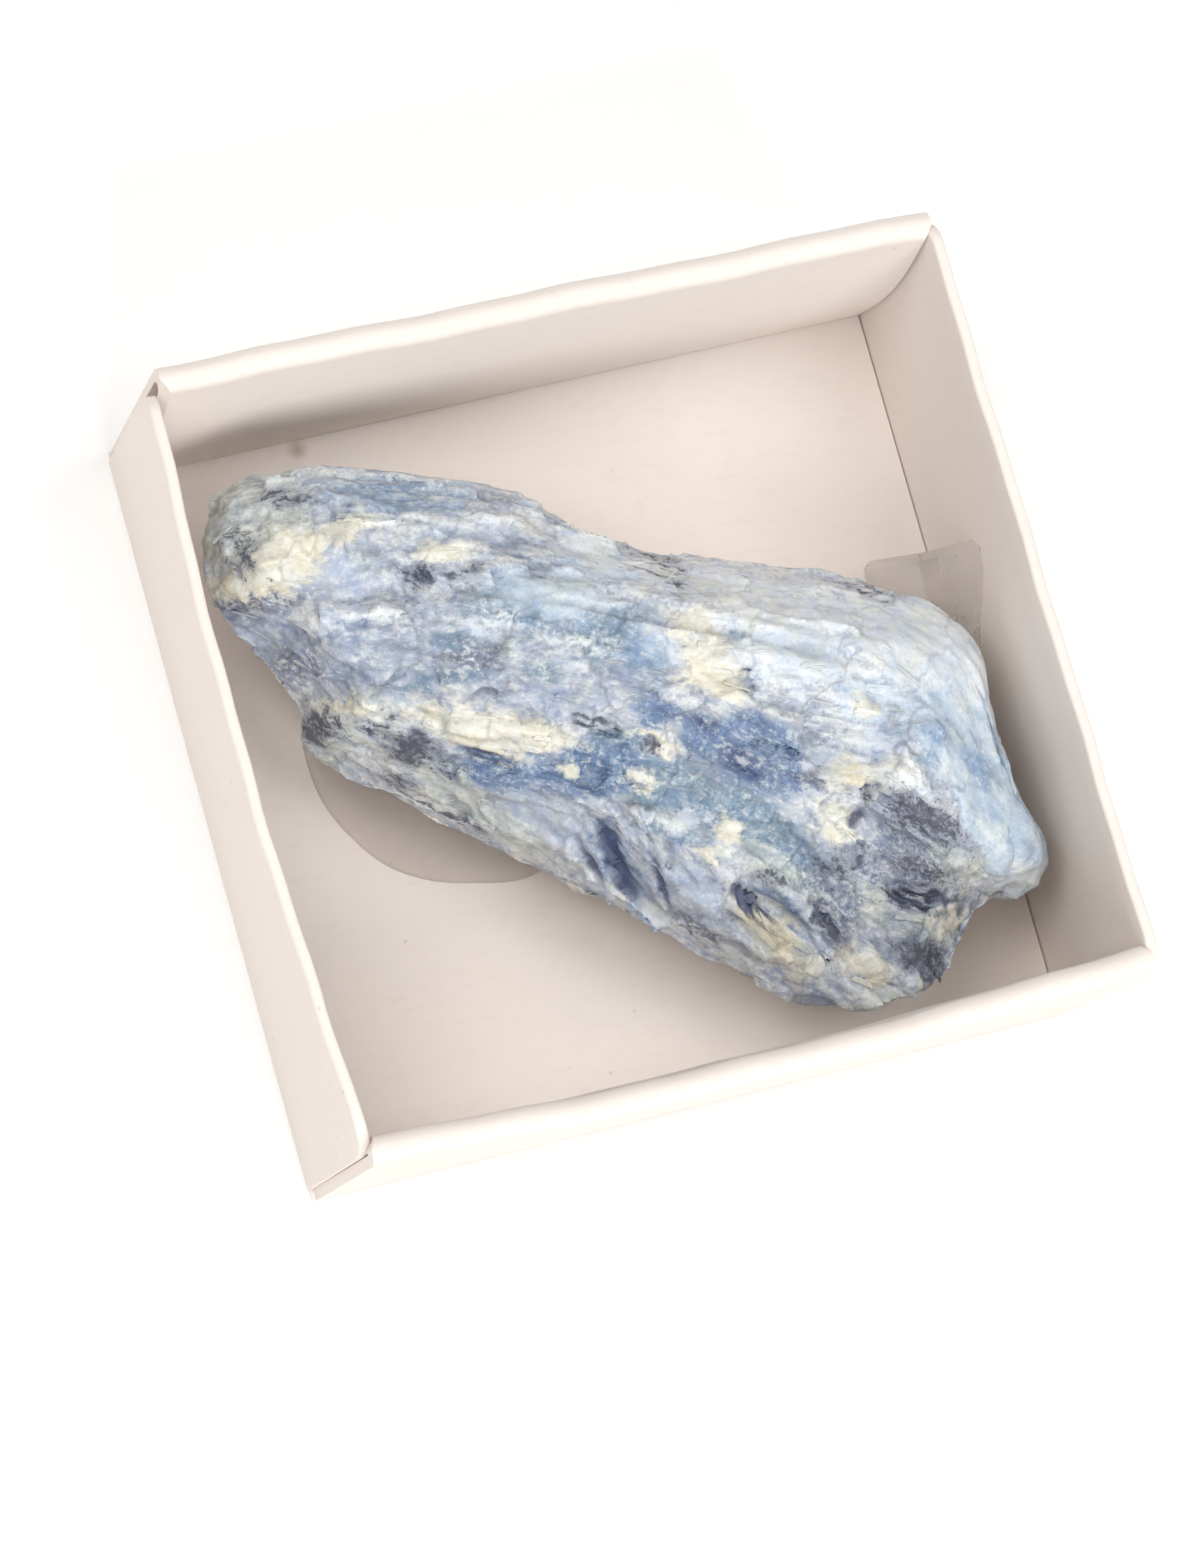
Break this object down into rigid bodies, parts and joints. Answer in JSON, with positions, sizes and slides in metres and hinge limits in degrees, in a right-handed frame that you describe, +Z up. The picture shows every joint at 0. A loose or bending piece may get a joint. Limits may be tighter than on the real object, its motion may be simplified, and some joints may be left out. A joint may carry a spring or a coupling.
{
  "type": "kyanite blade cluster in a card tray",
  "caption": "Mass of parallel bladed blue kyanite crystals glued in a small square open card tray with low walls, for keeping a mineral specimen.",
  "frame": {"origin": "bottom centre of the tray's box, on the surface that the tray stands on", "axes": "+Z up, out of the tray's open top; +X towards the tray's right single wall; +Y towards the tray's back double wall"},
  "size_m": [0.041, 0.0392, 0.0145],
  "materials": {
    "kyanite": "pearly to glassy crystal faces",
    "tray_card": "matt white paper",
    "puddle_glue": "clear glossy dried glue",
    "fillet_glue": "clear glossy dried glue"
  },
  "bodies": {
    "root": {"kyanite_specimen": "kyanite", "card_tray": "tray_card", "glue_puddle": "puddle_glue", "glue_fillet": "fillet_glue"}
  },
  "joints": []
}
